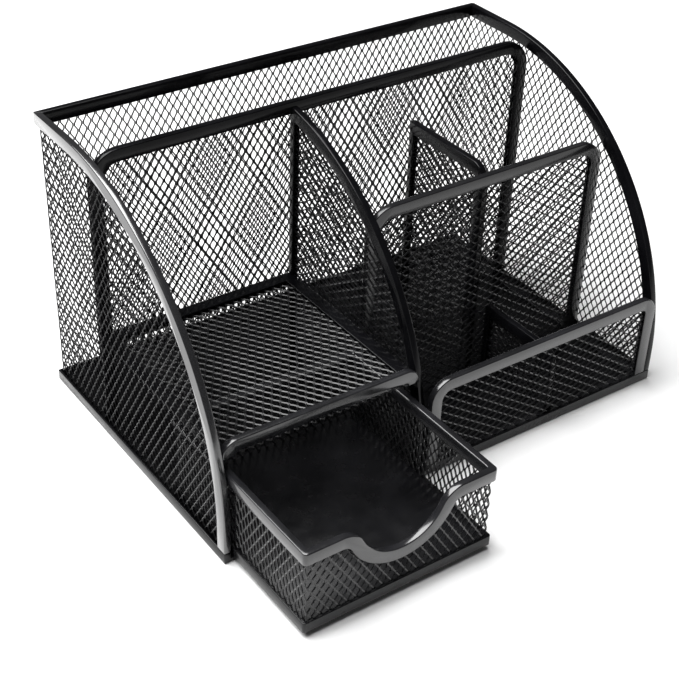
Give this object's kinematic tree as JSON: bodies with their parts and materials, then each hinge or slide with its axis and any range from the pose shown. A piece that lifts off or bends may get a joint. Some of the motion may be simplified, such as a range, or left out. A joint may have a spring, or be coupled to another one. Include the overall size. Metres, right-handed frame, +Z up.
{
  "type": "desk organizer",
  "caption": "Curved black wire-mesh desk organizer with a rear letter bay, open shelf, upright bays with partitions, and a sliding drawer with a finger scoop.",
  "frame": {"origin": "middle of the case's base, on the underside of its base sheet, where it stands on the desk; the drawer is not counted", "axes": "+X to the right seen from the front, +Y to the back, +Z up; the drawer slides along -Y"},
  "size_m": [0.22, 0.1876, 0.128],
  "materials": {
    "mesh_paint": "satin black paint on expanded steel mesh",
    "strip_paint": "gloss black paint on folded steel strip",
    "floor_paint": "gloss black paint on plain steel sheet, drawer floor and base"
  },
  "bodies": {
    "case": {"wall_mesh": "mesh_paint", "rim_left": "strip_paint", "rim_right": "strip_paint", "rim_back": "strip_paint", "base_sheet": "floor_paint", "base_rim": "strip_paint", "rear_divider_mesh": "mesh_paint", "rear_divider_rim": "strip_paint", "centre_divider_mesh": "mesh_paint", "centre_divider_rim": "strip_paint", "letter_divider_mesh": "mesh_paint", "letter_divider_rim": "strip_paint", "front_panel_mesh": "mesh_paint", "front_panel_rim": "strip_paint", "rear_partition_mesh": "mesh_paint", "rear_partition_rim": "strip_paint", "front_partition_mesh": "mesh_paint", "front_partition_rim": "strip_paint", "shelf_mesh": "mesh_paint", "shelf_lip_rim": "strip_paint", "shelf_frame": "strip_paint"},
    "drawer": {"drawer_floor": "floor_paint", "drawer_walls": "mesh_paint", "drawer_rim": "strip_paint"}
  },
  "joints": [
    {"name": "drawer_slide", "type": "slide", "parent": "case", "child": "drawer", "axis": [0, -1, 0], "range_m": [-0.0476, 0.03]}
  ]
}
